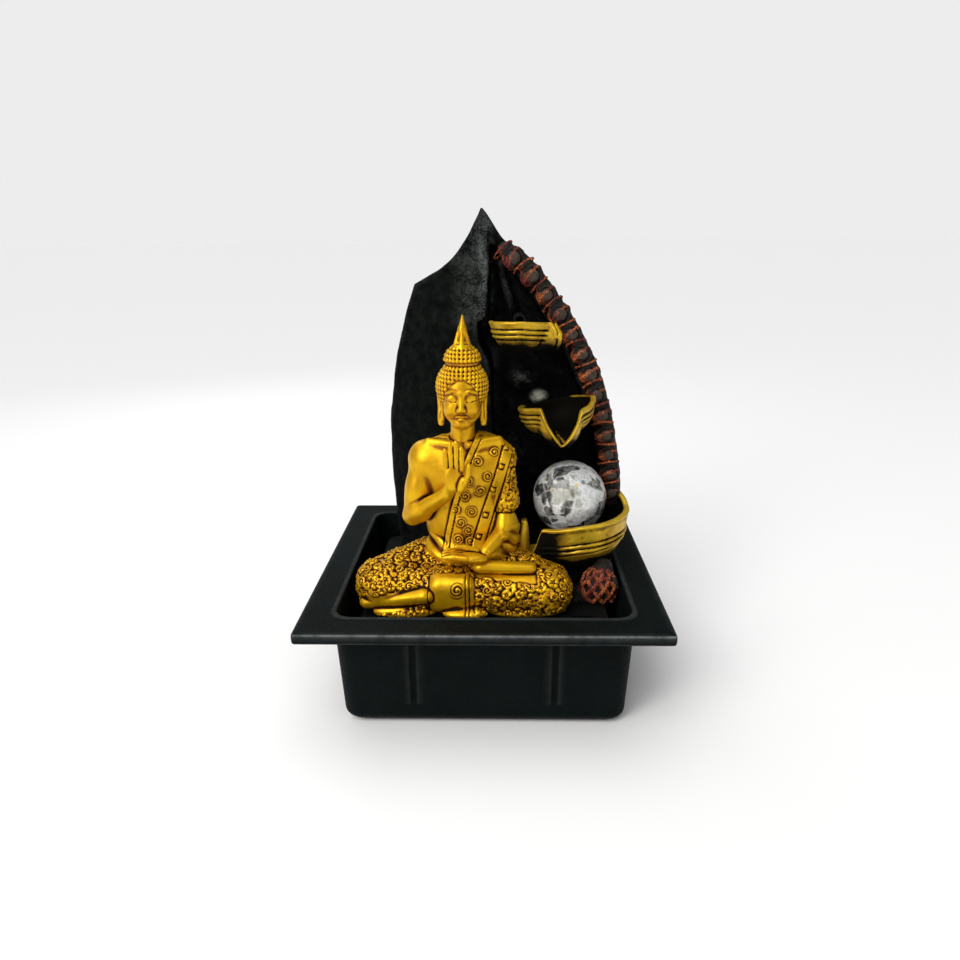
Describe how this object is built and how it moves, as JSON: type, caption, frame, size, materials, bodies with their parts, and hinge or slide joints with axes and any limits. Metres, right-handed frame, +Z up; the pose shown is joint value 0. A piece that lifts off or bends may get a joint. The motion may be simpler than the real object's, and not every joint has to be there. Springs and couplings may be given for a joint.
{
  "type": "tabletop water fountain",
  "caption": "Tabletop water fountain with a square reservoir, leaf-shaped backdrop, seated figure, cascading spill bowls, a lit crystal ball and a hidden pump.",
  "frame": {"origin": "on the table under the centre of the basin", "axes": "+Z up, -Y towards the viewer, +X to the viewer's right"},
  "size_m": [0.2, 0.2, 0.2795],
  "materials": {
    "tub_plastic": "moulded black plastic with a fine grain",
    "rubber": "matt black rubber",
    "black_resin": "cast resin with a stone grain, black with grey on its edges",
    "cover_plastic": "moulded black plastic",
    "screw_steel": "plated steel",
    "antique_gold": "cast resin in bright gold paint with dark brown in the hollows",
    "bark_paint": "cast resin, black with rust red brushed over the ridges",
    "board": "white circuit board",
    "light_chip": "warm white light chip",
    "clear_vinyl": "clear soft plastic",
    "pump_plastic": "moulded black plastic",
    "ferrite": "dark grey ferrite and laminations",
    "copper": "enamelled copper wire",
    "potting_resin": "cast black epoxy",
    "ceramic": "ground white ceramic",
    "lead_jacket": "soft black cable jacket",
    "crackle_glass": "clear glass full of fine cracks",
    "white_plastic": "moulded white plastic",
    "sponge": "open-cell filter foam",
    "dial_plastic": "moulded grey plastic"
  },
  "bodies": {
    "basin": {"basin": "tub_plastic", "foot_front_left": "rubber", "foot_front_right": "rubber", "foot_rear_right": "rubber", "foot_rear_left": "rubber", "cord_grommet": "rubber"},
    "sculpture": {"light_gasket": "rubber", "ball_seat": "rubber", "pump_gland": "rubber", "shaft_bush": "rubber", "suction_cup_1": "rubber", "suction_cup_2": "rubber", "suction_cup_3": "rubber", "suction_cup_4": "rubber", "plinth": "black_resin", "backdrop": "black_resin", "bowl_stand": "black_resin", "rear_cover": "cover_plastic", "light_housing": "cover_plastic", "spout_nozzle": "cover_plastic", "lead_splice": "cover_plastic", "cover_screw_1": "screw_steel", "cover_screw_2": "screw_steel", "cover_screw_3": "screw_steel", "cover_screw_4": "screw_steel", "figure_screw_1": "screw_steel", "figure_screw_2": "screw_steel", "seated_figure": "antique_gold", "top_bowl": "antique_gold", "middle_bowl": "antique_gold", "lower_bowl": "antique_gold", "bark_trim": "bark_paint", "bark_root": "bark_paint", "light_board": "board", "light_chip_1": "light_chip", "light_chip_2": "light_chip", "light_chip_3": "light_chip", "light_lens": "clear_vinyl", "water_hose": "clear_vinyl", "pump_housing": "pump_plastic", "pump_volute": "pump_plastic", "stator_core": "ferrite", "stator_coil": "copper", "potting_plug": "potting_resin", "pump_shaft": "ceramic", "light_lead": "lead_jacket", "pump_lead": "lead_jacket"},
    "ball": {"crystal_ball": "crackle_glass"},
    "rotor": {"impeller": "white_plastic", "rotor_magnet": "ferrite"},
    "pump_cover": {"pump_cover": "pump_plastic", "filter_sponge": "sponge"},
    "flow_dial": {"flow_dial": "dial_plastic"}
  },
  "joints": [
    {"name": "sculpture_lift", "type": "slide", "parent": "basin", "child": "sculpture", "axis": [0, 0, 1], "range_m": [0, 0.09]},
    {"name": "ball_spin", "type": "hinge", "parent": "sculpture", "child": "ball", "pos_m": [0.052, -0.001, 0.109], "axis": [1, 0, 0], "continuous": true},
    {"name": "rotor_spin", "type": "hinge", "parent": "sculpture", "child": "rotor", "pos_m": [0, 0.048, 0.022], "axis": [1, 0, 0], "continuous": true},
    {"name": "cover_slide", "type": "slide", "parent": "sculpture", "child": "pump_cover", "axis": [-1, 0, 0], "range_m": [0, 0.03]},
    {"name": "dial_turn", "type": "hinge", "parent": "pump_cover", "child": "flow_dial", "pos_m": [-0.028, 0.048, 0.022], "axis": [1, 0, 0], "range_deg": [-60, 60]}
  ]
}
